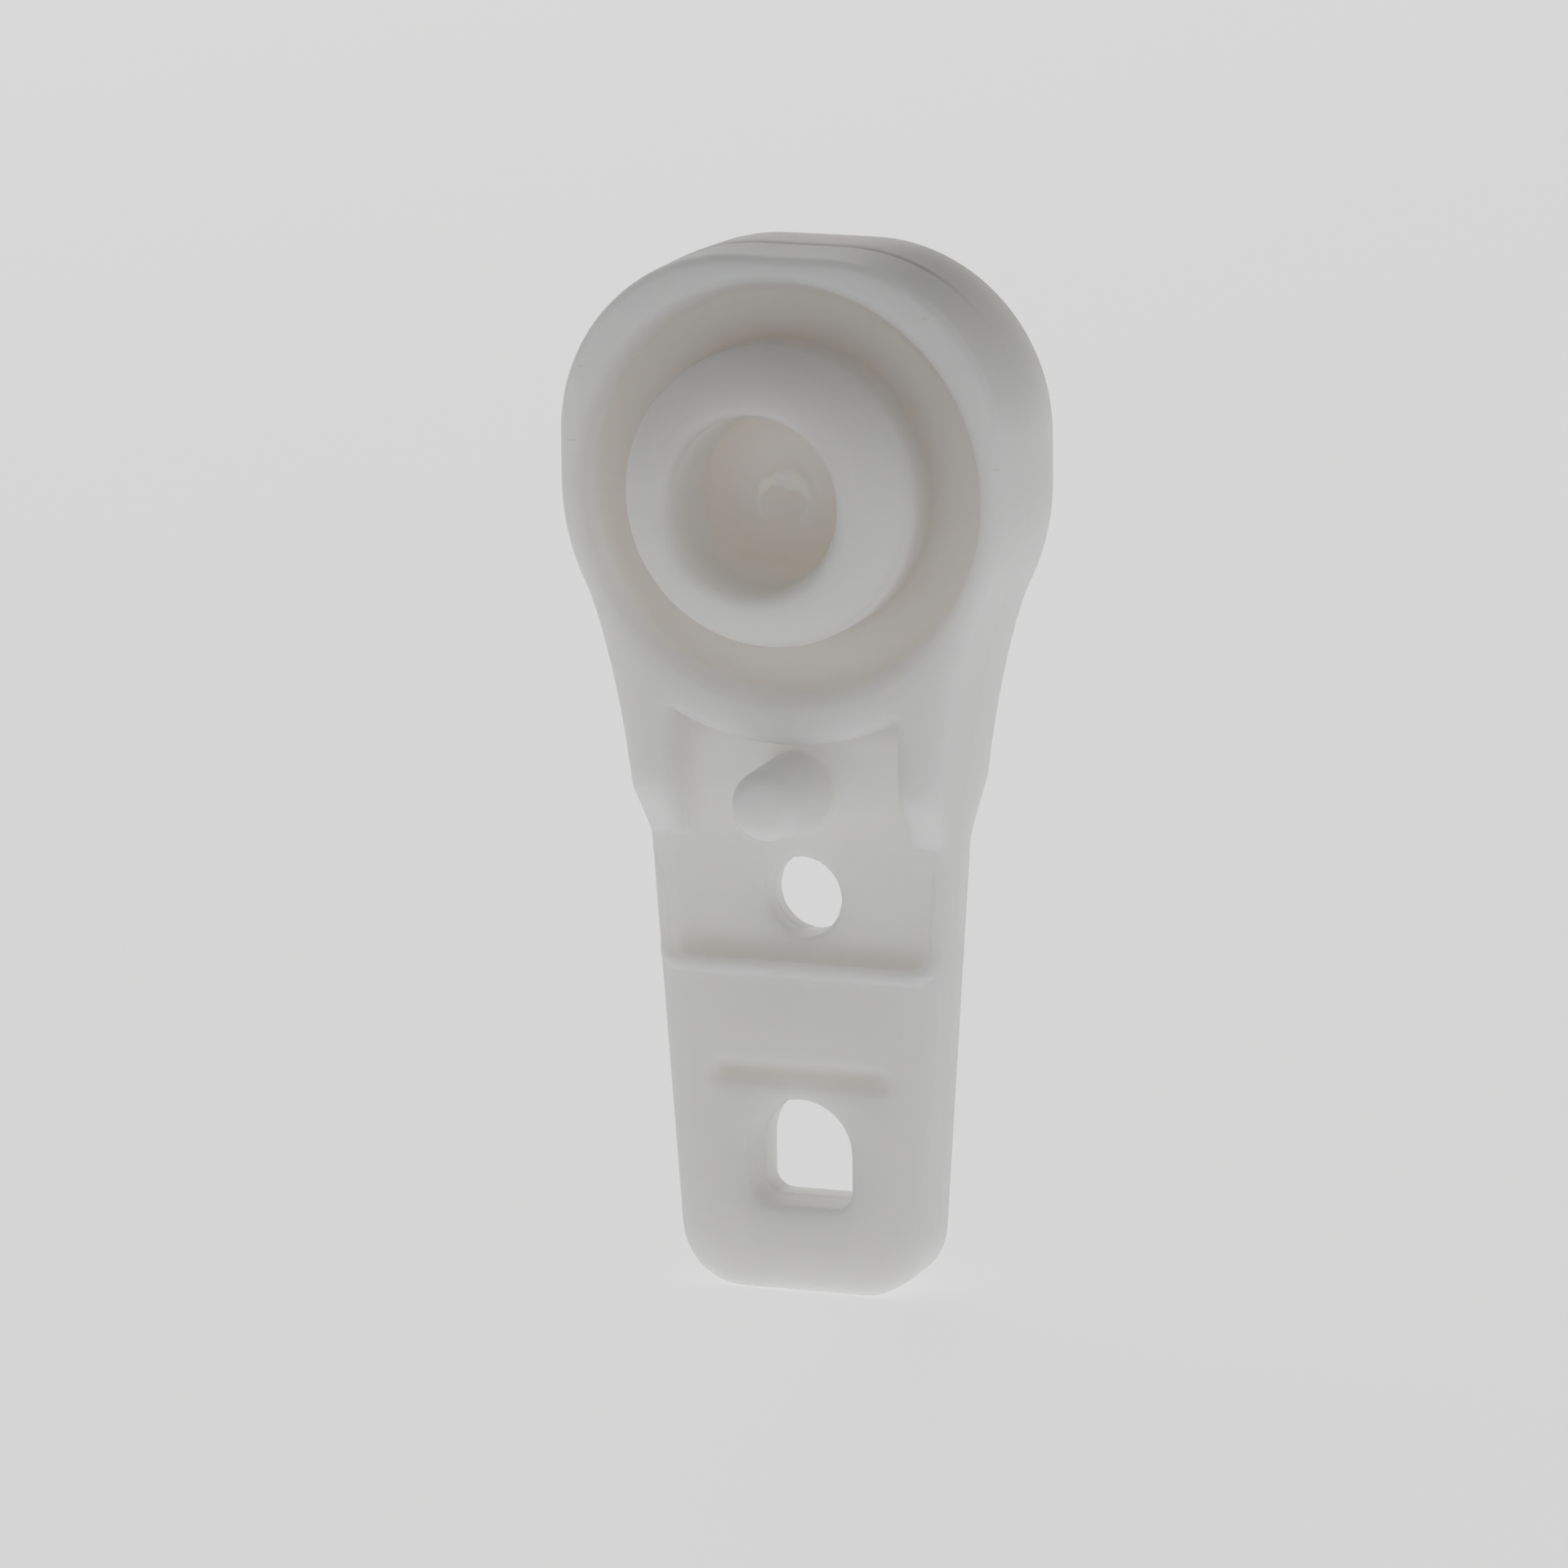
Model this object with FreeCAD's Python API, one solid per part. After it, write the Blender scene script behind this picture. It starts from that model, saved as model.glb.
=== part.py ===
"""Curtain glider: one plastic moulding with a dished head, a domed hub and a peg on each side, and a slim tail.

Millimetres. The hub's axis is Y, the glider travels along X and the tail hangs down along -Z. The origin lies
on the hub's axis at mid-thickness, in the plane where the two halves of the mould meet. The halves are alike,
so each feature is made for the front, which faces -Y, and mirrored.
"""
import FreeCAD, Part
import math
import os

# Head, outwards from the hub's axis
HUB_DIAMETER = 9.1
HUB_WALL = 1.85            # between the hub's side and the mouth of its blind bore
DISH_GROOVE = 1.85         # ring of open floor between the hub and the dish's mouth
SIDE_RIM = 0.72            # rim beside the dish, at the head's widest
TOP_RIM = 0.77             # rim above the dish, under the flat top
TOP_FLAT = 2.8             # width of the flat top
RING_WALL = 1.35           # wall under the dish, down to the neck's pocket

# Thicknesses, front to back
HEAD_THICKNESS = 4.9
TAIL_THICKNESS = 2.5
DISH_DEPTH = 1.0
HUB_EDGE_RISE = 1.05       # the hub's edge in front of the head's face
HUB_DOME_RISE = 1.5        # from the hub's edge to the lip of its bore
BORE_WEB = 3.8             # plastic left between the two blind bores
POCKET_DEPTH = 0.45        # the neck's pocket below the tail's face

# Neck and tail, downwards from the dish's ring
RAIL_LENGTH = 1.55         # rails beside the pocket, below the ring
RAIL_WIDTH = 1.17          # at the foot of the shoulder
SHOULDER_RUN = 1.65        # height of the slope from the head's face to the tail's
POCKET_LENGTH = 3.8        # from the foot of the shoulder to the ledge
FACE_LENGTH = 10.17        # from the ledge to the foot of the tail
NECK_ANGLE = 27.0          # degrees below the axis at which the neck leaves the round head
NECK_TURN = 0.8            # how long the neck's curve follows the round head
NECK_EASE = 4.0            # how long it follows the tail's side
SHOULDER_WIDTH = 9.6       # tail's width at the foot of the shoulder
FOOT_WIDTH = 7.65          # tail's width at the bottom, before its corners are rounded
FOOT_CORNER_RADIUS = 2.0
POCKET_RIM = 0.42          # thin wall left at each side of the pocket
POCKET_CORNER_RADIUS = 0.5
COVE_RADIUS = 1.4          # the pocket's floor sweeps up to the ledge

# Peg, cord hole, hook eye and sunk bar
PEG_DIAMETER = 2.15
PEG_HEIGHT = 3.25          # above the pocket's floor
PEG_BELOW_RING = 1.55
HOLE_DIAMETER = 2.45
HOLE_BELOW_SHOULDER = 1.75
EYE_WIDTH = 3.2
EYE_HEIGHT = 3.2
EYE_CORNER_RADIUS = 0.5
EYE_FOOT_WALL = 2.75       # plastic between the eye and the foot
BAR_LENGTH = 5.6
BAR_HEIGHT = 0.5
BAR_DEPTH = 0.2
BAR_ABOVE_EYE = 0.55
GATE_DIAMETER = 1.5        # scar of the moulding gate, on the floor of the front bore
GATE_HEIGHT = 0.15

# Drafts in degrees, and eased edges
FLANK_DRAFT = 1.5
EYE_DRAFT = 3.0
DISH_DRAFT = 3.0
BORE_DRAFT = 4.0
PEG_DRAFT = 2.0
OUTER_BEVEL = 0.25
DISH_BEVEL = 0.2
HUB_BEVEL = 0.15
EYE_BEVEL = 0.15
PEG_BEVEL = 0.4
BORE_LIP_ROUND = 0.3
SHOULDER_ROUND = 0.8

# Room that a cutting solid reaches past the surface it opens, and depth that an added one is rooted
PASS = 2.0
ROOT = 0.3
TOLERANCE = 1e-6

hub_radius = HUB_DIAMETER / 2
bore_radius = hub_radius - HUB_WALL
mouth_radius = hub_radius + DISH_GROOVE
head_half = mouth_radius + SIDE_RIM
head_top = mouth_radius + TOP_RIM
ring_radius = mouth_radius + RING_WALL
head_face = HEAD_THICKNESS / 2
tail_face = TAIL_THICKNESS / 2
dish_floor = head_face - DISH_DEPTH
hub_edge = head_face + HUB_EDGE_RISE
hub_lip = hub_edge + HUB_DOME_RISE
bore_floor = BORE_WEB / 2
pocket_floor = tail_face - POCKET_DEPTH
rail_end = -(ring_radius + RAIL_LENGTH)
shoulder_foot = rail_end - SHOULDER_RUN
ledge = shoulder_foot - POCKET_LENGTH
foot = ledge - FACE_LENGTH
peg_level = -(ring_radius + PEG_BELOW_RING)
hole_level = shoulder_foot - HOLE_BELOW_SHOULDER
eye_bottom = foot + EYE_FOOT_WALL
eye_crown = eye_bottom + EYE_HEIGHT
taper = math.atan((SHOULDER_WIDTH - FOOT_WIDTH) / 2 / (shoulder_foot - foot))
beyond = hub_lip + PASS    # a plane well in front of everything

ORIGIN = FreeCAD.Vector(0, 0, 0)
AXIS_X = FreeCAD.Vector(1, 0, 0)
AXIS_Y = FreeCAD.Vector(0, 1, 0)
AXIS_Z = FreeCAD.Vector(0, 0, 1)


def at(x, depth, z):
    """A point at a depth in front of the mid-plane."""
    return FreeCAD.Vector(x, -depth, z)


def slope(degrees):
    return math.tan(math.radians(degrees))


def polar(radius, degrees):
    """Sideways and upward parts of a radius at an angle below the horizontal."""
    turn = math.radians(degrees)
    return radius * math.cos(turn), -radius * math.sin(turn)


def line(a, b):
    return Part.LineSegment(a, b).toShape()


def arc(a, middle, b):
    return Part.Arc(a, middle, b).toShape()


def path(points):
    """Straight edges from point to point."""
    return [line(a, b) for a, b in zip(points, points[1:])]


def rounded(edges, radii, normal):
    """Edges that run on from each other in a plane, with an arc of its own radius at each joint."""
    done = [edges[0]]
    for following, radius in zip(edges[1:], radii):
        if radius:
            corner = done[-1].lastVertex(True).Point
            rounding = Part.ChFi2d.FilletAlgo()
            rounding.init(done[-1], following, Part.Plane(corner, normal))
            rounding.perform(radius)
            bend, before, following = rounding.result(corner)
            done[-1:] = [before, bend]
        done.append(following)
    return done


def closed(edges):
    return Part.Wire(Part.__sortEdges__(edges))


def with_mirror(edges, normal):
    """Edges and their mirror images, as one closed wire."""
    return closed(edges + [edge.mirror(ORIGIN, normal) for edge in edges])


def both_sides(shape):
    """The shape made for the front, with its mirror image at the back."""
    return shape.fuse(shape.mirror(ORIGIN, AXIS_Y))


def revolved(edges):
    """A solid turned about the Y axis from edges drawn as radius and depth."""
    return Part.Face(closed(edges)).revolve(ORIGIN, AXIS_Y, 360)


def across(wire):
    """A side view in the YZ plane, carried across the glider's whole width."""
    reach = head_half + PASS
    face = Part.Face(wire)
    face.translate(AXIS_X * -reach)
    return face.extrude(AXIS_X * 2 * reach)


def drafted(outline_at, growth, depth):
    """A solid through both halves of the mould: its outline grows evenly from the mid-plane to a depth."""
    return both_sides(Part.makeLoft([outline_at(0, 0), outline_at(growth, depth)], True, True))


def edges_where(shape, test):
    """The edges whose sampled points all pass a test."""
    return [edge for edge in shape.Edges if all(test(point) for point in edge.discretize(5))]


def on_plane(point, depth):
    return math.isclose(abs(point.y), depth, abs_tol=TOLERANCE)


def tail_half_width(z):
    """Half the tail's width at a height, along its straight sides."""
    return FOOT_WIDTH / 2 + (z - foot) * math.tan(taper)


def neck_curve(start, end):
    """The curve from a point on the round head to one on the tail's side, touching both."""
    turn = math.radians(NECK_ANGLE)
    off_head = AXIS_X * -math.sin(turn) - AXIS_Z * math.cos(turn)
    up_tail = AXIS_X * math.sin(taper) + AXIS_Z * math.cos(taper)
    curve = Part.BezierCurve()
    curve.setPoles([start, start + off_head * NECK_TURN, end + up_tail * NECK_EASE, end])
    return curve.toShape()


def outline(growth, depth):
    """The glider's outline, larger all round by a growth, in a plane at a depth."""
    half = head_half + growth
    top = head_top + growth
    bottom = foot - growth
    outward = AXIS_X * math.cos(taper) - AXIS_Z * math.sin(taper)
    corner = at(half, depth, top)
    side_end = at(half, depth, 0)
    round_middle, round_end = (at(x, depth, z) for x, z in (polar(half, NECK_ANGLE / 2), polar(half, NECK_ANGLE)))
    shoulder = at(SHOULDER_WIDTH / 2, depth, shoulder_foot) + outward * growth
    foot_corner = at(tail_half_width(bottom) + growth / math.cos(taper), depth, bottom)
    edges = [
        line(at(0, depth, top), corner),
        line(corner, side_end),
        arc(side_end, round_middle, round_end),
        neck_curve(round_end, shoulder),
        line(shoulder, foot_corner),
        line(foot_corner, at(0, depth, bottom)),
    ]
    top_corner_radius = half - TOP_FLAT / 2
    return with_mirror(rounded(edges, [top_corner_radius, 0, 0, 0, FOOT_CORNER_RADIUS], AXIS_Y), AXIS_X)


def eye_outline(growth, depth):
    """The D-shaped hook eye, larger all round by a growth, in a plane at a depth."""
    half = EYE_WIDTH / 2 + growth
    bottom = eye_bottom - growth
    crown = eye_crown + growth
    haunch = at(half, depth, crown - half)
    shoulder_x, shoulder_z = polar(half, -45)
    edges = [
        arc(at(0, depth, crown), at(shoulder_x, depth, crown - half + shoulder_z), haunch),
        *path([haunch, at(half, depth, bottom), at(0, depth, bottom)]),
    ]
    return with_mirror(rounded(edges, [0, EYE_CORNER_RADIUS], AXIS_Y), AXIS_X)


def side_view():
    """Head, sloping shoulder and tail seen from the side, as a prism that trims the drafted block."""
    high = head_top + PASS
    low = foot - PASS
    edges = path([at(0, depth, z) for depth, z in (
        (0, high), (head_face, high), (head_face, rail_end), (tail_face, shoulder_foot), (tail_face, low), (0, low))])
    return across(with_mirror(rounded(edges, [0, SHOULDER_ROUND, SHOULDER_ROUND, 0], AXIS_X), AXIS_Y))


def blank():
    """The outer form: drafted flanks, stepped thickness and bevelled outer edges."""
    block = drafted(outline, -head_face * slope(FLANK_DRAFT), head_face)
    stepped = block.common(side_view()).removeSplitter()
    off_parting = edges_where(stepped, lambda point: abs(point.y) > tail_face - TOLERANCE)
    outer = [edge for edge in off_parting if not crosses_neck(edge)]
    return stepped.makeChamfer(min(OUTER_BEVEL, SIDE_RIM / 2, TOP_RIM / 2), outer)


def crosses_neck(edge):
    """Whether an edge runs level from flank to flank at the shoulder."""
    box = edge.BoundBox
    return box.ZLength < TOLERANCE and foot + FOOT_CORNER_RADIUS < box.ZMin < 0


def dish():
    """The round dish that is sunk in the head's face, with a bevelled lip."""
    bevel = min(DISH_BEVEL, SIDE_RIM / 2)
    wall_top = mouth_radius - bevel
    floor_radius = wall_top - (DISH_DEPTH - bevel) * slope(DISH_DRAFT)
    clear = head_face + PASS
    profile = [(0, dish_floor), (floor_radius, dish_floor), (wall_top, head_face - bevel),
               (mouth_radius + PASS, clear), (0, clear), (0, dish_floor)]
    return revolved(path([at(radius, depth, 0) for radius, depth in profile]))


def with_eye(body):
    """The body with the hook eye cut through, its edges bevelled on both faces."""
    opened = body.cut(drafted(eye_outline, tail_face * slope(EYE_DRAFT), tail_face))
    reach = tail_face * slope(EYE_DRAFT) + TOLERANCE
    rims = edges_where(opened, lambda point: on_plane(point, tail_face) and abs(point.x) < EYE_WIDTH / 2 + reach
                       and eye_bottom - reach < point.z < eye_crown + reach)
    return opened.makeChamfer(EYE_BEVEL, rims)


def hub():
    """The hub: straight side, domed front and a drafted blind bore with a rounded lip."""
    base = min(dish_floor, bore_floor) - ROOT
    floor_radius = bore_radius - (hub_lip - bore_floor) * slope(BORE_DRAFT)
    sphere_below = (hub_radius ** 2 - bore_radius ** 2 - HUB_DOME_RISE ** 2) / (2 * HUB_DOME_RISE)
    sphere_radius = math.hypot(hub_radius, sphere_below)

    def dome(radius):
        return at(radius, hub_edge - sphere_below + math.sqrt(sphere_radius ** 2 - radius ** 2), 0)

    dome_start = dome(hub_radius - HUB_BEVEL)
    lip = dome(bore_radius)
    edges = [
        *path([at(0, base, 0), at(hub_radius, base, 0), at(hub_radius, hub_edge - HUB_BEVEL, 0), dome_start]),
        arc(dome_start, dome((hub_radius + bore_radius) / 2), lip),
        *path([lip, at(floor_radius, bore_floor, 0), at(0, bore_floor, 0), at(0, base, 0)]),
    ]
    return revolved(rounded(edges, [0, 0, 0, BORE_LIP_ROUND, 0, 0], AXIS_Z))


def gate_scar():
    """The low stump that the moulding gate left on the floor of the front bore."""
    root = at(0, bore_floor - ROOT, 0)
    return Part.makeCone(GATE_DIAMETER / 2, GATE_DIAMETER / 4, ROOT + GATE_HEIGHT, root, -AXIS_Y)


def pocket():
    """The pocket under the ring: narrow between the rails, then nearly the tail's width down to a coved ledge."""
    rail_inner = SHOULDER_WIDTH / 2 - RAIL_WIDTH
    between_rails = Part.makeBox(2 * rail_inner, beyond, -shoulder_foot, at(-rail_inner, beyond, shoulder_foot))
    ring = Part.makeCylinder(ring_radius, beyond, at(0, beyond, 0), AXIS_Y)

    half = path([at(x, 0, z) for x, z in (
        (0, shoulder_foot),
        (tail_half_width(shoulder_foot) - POCKET_RIM, shoulder_foot),
        (tail_half_width(ledge) - POCKET_RIM, ledge),
        (0, ledge))])
    wide = Part.Face(with_mirror(rounded(half, [0, POCKET_CORNER_RADIUS], AXIS_Y), AXIS_X)).extrude(-AXIS_Y * beyond)

    sweep = math.degrees(math.acos(1 - POCKET_DEPTH / COVE_RADIUS))
    cove = [(pocket_floor + COVE_RADIUS - out, ledge + COVE_RADIUS * math.sin(math.radians(sweep)) + down)
            for out, down in (polar(COVE_RADIUS, 0), polar(COVE_RADIUS, sweep / 2), polar(COVE_RADIUS, sweep))]
    start, middle, end = (at(0, depth, z) for depth, z in cove)
    section = closed([
        *path([end, at(0, beyond, ledge), at(0, beyond, 0), at(0, pocket_floor, 0), start]),
        arc(start, middle, end),
    ])
    return between_rails.cut(ring).fuse(wide).common(across(section))


def peg():
    """The round peg between the rails, with a bevelled tip."""
    root = pocket_floor - ROOT
    tip = pocket_floor + PEG_HEIGHT
    radius = PEG_DIAMETER / 2
    root_radius = radius + (tip - root) * slope(PEG_DRAFT)
    bevel = min(PEG_BEVEL, radius / 2)
    profile = [(0, root), (root_radius, root), (radius, tip - bevel), (radius - bevel, tip), (0, tip), (0, root)]
    pin = revolved(path([at(x, depth, 0) for x, depth in profile]))
    pin.translate(AXIS_Z * peg_level)
    return pin


def cord_hole():
    return Part.makeCylinder(HOLE_DIAMETER / 2, TAIL_THICKNESS, at(0, tail_face, hole_level), AXIS_Y)


def sunk_bar():
    """The shallow bar above the eye, on the front only."""
    corner = at(-BAR_LENGTH / 2, tail_face + PASS, eye_crown + BAR_ABOVE_EYE)
    return Part.makeBox(BAR_LENGTH, BAR_DEPTH + PASS, BAR_HEIGHT, corner)


def glider_body():
    """The whole moulding."""
    body = with_eye(blank())
    body = body.cut([both_sides(dish()), both_sides(pocket()), cord_hole(), sunk_bar()])
    return body.fuse([both_sides(hub()), both_sides(peg()), gate_scar()]).removeSplitter()


os.makedirs("parts", exist_ok=True)
glider = glider_body()
glider.exportStep("parts/glider_body.step")
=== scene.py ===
"""Curtain glider: the white moulding and its studio stage, laid out as an add-on and run as a script.

The moulding is one piece of plastic with softened edges everywhere, so it is drawn as a distance field, in
millimetres, in the CAD model's own frame: profiles are joined and cut with a rounding of their own at every
edge. The field is then turned into a mesh whose points lie on its surface.
"""
import math

import bpy
import numpy as np
import openvdb
from mathutils import Matrix, Vector


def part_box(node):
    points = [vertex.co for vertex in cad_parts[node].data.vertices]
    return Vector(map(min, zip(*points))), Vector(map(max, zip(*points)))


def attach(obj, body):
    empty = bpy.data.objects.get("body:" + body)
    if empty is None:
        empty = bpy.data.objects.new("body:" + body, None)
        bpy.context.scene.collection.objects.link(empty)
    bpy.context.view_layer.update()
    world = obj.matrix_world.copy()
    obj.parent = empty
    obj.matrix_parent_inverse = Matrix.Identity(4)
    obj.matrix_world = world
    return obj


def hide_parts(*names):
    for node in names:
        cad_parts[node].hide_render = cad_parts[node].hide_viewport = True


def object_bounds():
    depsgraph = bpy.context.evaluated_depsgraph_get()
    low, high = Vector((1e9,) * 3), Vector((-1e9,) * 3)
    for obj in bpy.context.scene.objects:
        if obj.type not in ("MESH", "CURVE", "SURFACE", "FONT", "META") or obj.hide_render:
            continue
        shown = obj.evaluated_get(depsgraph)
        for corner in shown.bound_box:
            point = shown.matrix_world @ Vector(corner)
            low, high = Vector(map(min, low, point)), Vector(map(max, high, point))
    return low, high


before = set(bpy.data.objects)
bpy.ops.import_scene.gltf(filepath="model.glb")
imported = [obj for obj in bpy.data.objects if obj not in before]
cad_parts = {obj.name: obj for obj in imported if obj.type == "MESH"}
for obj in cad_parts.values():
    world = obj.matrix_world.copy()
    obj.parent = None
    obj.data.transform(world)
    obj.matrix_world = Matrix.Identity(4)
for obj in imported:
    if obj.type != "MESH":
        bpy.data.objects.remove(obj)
CAD_BOX = [list(corner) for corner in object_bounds()]

bl_info = {
    "name": "Curtain Glider",
    "version": (1, 0, 0),
    "blender": (4, 5, 0),
    "location": "3D View > Sidebar > Glider",
    "description": "Builds a moulded curtain glider and a pale studio stage round it",
    "category": "Add Mesh",
}

NODE = "glider_body"
MM = 0.001
CAD_LOW, CAD_HIGH = (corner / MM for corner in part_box(NODE))

# Small roundings and fillets, in millimetres
HUB_EDGE_ROUND = 0.25
HUB_FILLET = 0.2
BORE_FILLET = 0.3
DISH_FILLET = 0.25
SHOULDER_TOP_ROUND = 0.8
SHOULDER_FOOT_ROUND = 0.4
POCKET_FILLET = 0.2
BEAD_FILLET = 0.1
PEG_FILLET = 0.3
BAR_CORNER = 0.2
BAR_FILLET = 0.12
BAR_EDGE_ROUND = 0.3

# The moulding gate's scar, in millimetres
GATE_WALL = 0.2
GATE_FILLET = 0.1
FLAKE_PLACE = 0.2
FLAKE_WIDTH = 0.25
CRATER_RADIUS = 0.68
CRATER_RISE = 0.5
CRATER_EDGE_ROUND = 0.15

# Where the bead's middle lies, outside the pocket and under the tail's face, as shares of its radius
BEAD_OUT = 0.5
BEAD_SUNK = 0.3

# The mesh's cells past the box on each side, and the passes that settle its points on the surface
MESH_MARGIN = 3
SETTLE_PASSES = 3

# Stage, in metres
LAMP_SIZE = 0.7
LAMP_DISTANCE = 0.6
FLOOR_REACH = 3.0


def length(name, millimetres, description):
    """A size that a user can change."""
    return bpy.props.FloatProperty(
        name=name, description=description, default=millimetres * MM, min=0.0, unit="LENGTH", precision=5)


def angle(name, degrees, description):
    """An angle that a user can change."""
    return bpy.props.FloatProperty(
        name=name, description=description, default=math.radians(degrees), unit="ROTATION", subtype="ANGLE")


def power(name, watts, description):
    """A lamp's power."""
    return bpy.props.FloatProperty(name=name, description=description, default=watts, min=0.0, unit="POWER")


def share(name, default, description):
    """A factor from none to all."""
    return bpy.props.FloatProperty(
        name=name, description=description, default=default, min=0.0, max=1.0, subtype="FACTOR")


def colour(name, rgb, description):
    """A linear colour."""
    return bpy.props.FloatVectorProperty(
        name=name, description=description, default=rgb, size=3, min=0.0, max=1.0, subtype="COLOR")


class GliderSizes(bpy.types.PropertyGroup):
    """Sizes of the moulding."""

    head_half: length("Head half width", CAD_HIGH.x, "From the hub's axis to the head's straight side")
    head_top: length("Head top", CAD_HIGH.z, "From the hub's axis up to the flat top")
    top_flat: length("Top flat", 2.8, "Width of the flat top")
    head_face: length("Head half thickness", 2.45, "From the parting plane to the head's face")
    neck_angle: angle("Neck angle", 27.0, "Where the neck leaves the round head, below the axis")
    neck_turn: length("Neck turn", 0.8, "How long the neck's curve follows the round head")
    neck_ease: length("Neck ease", 4.0, "How long the neck's curve follows the tail's side")

    dish_mouth: length("Dish mouth", 6.4, "Radius of the dish where it opens")
    dish_wall: length("Dish wall", 6.18, "Radius of the dish at its floor")
    dish_floor: length("Dish floor", 1.45, "From the parting plane to the dish's floor")
    hub_radius: length("Hub radius", 4.55, "Radius of the hub's side")
    hub_edge: length("Hub edge", 3.5, "From the parting plane to the hub's edge")
    hub_lip: length("Hub lip", 5.05, "From the parting plane to where the dome meets the bore")
    bore_mouth: length("Bore mouth", 2.7, "Radius of the blind bore at the dome")
    bore_wall: length("Bore wall", 2.49, "Radius of the blind bore at its floor")
    bore_floor: length("Bore floor", 1.9, "From the parting plane to the bore's floor")

    ring: length("Ring", 7.75, "Radius of the dish's ring, above the neck's pocket")
    rail_inner: length("Rail inner face", 3.63, "From the middle to the rails beside the pocket")
    rail_end: length("Rail end", 9.3, "From the axis down to the rails' ends")
    shoulder_foot: length("Shoulder foot", 10.95, "From the axis down to the foot of the shoulder's slope")
    shoulder_half: length("Shoulder half width", 4.8, "Half the tail's width at the foot of the shoulder")
    foot_half: length("Foot half width", 3.825, "Half the tail's width at the foot, before its corners are rounded")
    foot: length("Foot", -CAD_LOW.z, "From the axis down to the foot")
    foot_corner: length("Foot corner", 2.0, "Radius of the foot's corners")
    tail_face: length("Tail half thickness", 1.25, "From the parting plane to the tail's face")
    pocket_floor: length("Pocket floor", 0.8, "From the parting plane to the pocket's floor")
    pocket_rim: length("Pocket rim", 0.42, "Thin wall at each side of the pocket")
    pocket_corner: length("Pocket corner", 0.5, "Radius of the pocket's lower corners")
    ledge: length("Ledge", 14.75, "From the axis down to the pocket's ledge")
    cove: length("Cove", 1.1, "Radius at which the pocket's floor sweeps up to the ledge")
    bead: length("Bead", 0.28, "Radius of the bead along the pocket's ledge")
    bead_rise: length("Bead rise", 0.9, "How far the bead runs up round the pocket's corners")

    peg_level: length("Peg level", 9.3, "From the axis down to the peg")
    peg_radius: length("Peg radius", 1.075, "Radius of the peg near its tip")
    peg_tip: length("Peg tip", 4.05, "From the parting plane to the peg's tip")
    hole_level: length("Hole level", 12.7, "From the axis down to the cord hole")
    hole_radius: length("Hole radius", 1.225, "Radius of the cord hole")
    eye_bottom: length("Eye bottom", 22.17, "From the axis down to the hook eye's lower edge")
    eye_height: length("Eye height", 3.2, "Height of the hook eye")
    eye_half: length("Eye half width", 1.6, "Half the hook eye's width and the radius of its crown")
    eye_corner: length("Eye corner", 0.5, "Radius of the hook eye's lower corners")
    bar_level: length("Bar level", 18.17, "From the axis down to the middle of the sunk bar")
    bar_half: length("Bar half length", 2.8, "Half the sunk bar's length")
    bar_height: length("Bar height", 0.5, "Height of the sunk bar")
    bar_depth: length("Bar depth", 0.2, "Depth of the sunk bar")
    gate_radius: length("Gate radius", 0.8, "Radius of the crescent that the moulding gate left")
    gate_drop: length("Gate drop", 0.44, "How far below the axis the gate stood")

    flank_draft: angle("Flank draft", 1.5, "Draft of the outer sides")
    eye_draft: angle("Eye draft", 3.0, "Draft of the hook eye's walls")
    peg_draft: angle("Peg draft", 2.0, "Draft of the peg")
    edge_round: length("Edge rounding", 0.3, "Rounding of the outer edges")
    dish_lip: length("Dish lip", 0.3, "Rounding of the dish's lip")
    bore_lip: length("Bore lip", 0.6, "Rounding of the bore's lip")
    pocket_round: length("Pocket rounding", 0.26, "Rounding of the pocket's edges")
    web_round: length("Web rounding", 0.45, "Rounding of the pocket's edges beside the peg")
    hole_round: length("Hole rounding", 0.16, "Rounding of the edges of cord hole and hook eye")
    peg_round: length("Peg rounding", 0.4, "Rounding of the peg's tip")
    seam_depth: length("Seam depth", 0.03, "Depth of the line where the mould's halves met")
    top_seam: length("Top seam depth", 0.1, "Depth of that line over the head's top")
    flash: length("Flash", 0.07, "Height of the line where the mould's halves met, inside the holes")
    spacing: length("Mesh spacing", 0.135, "Distance between the mesh's points")


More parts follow.
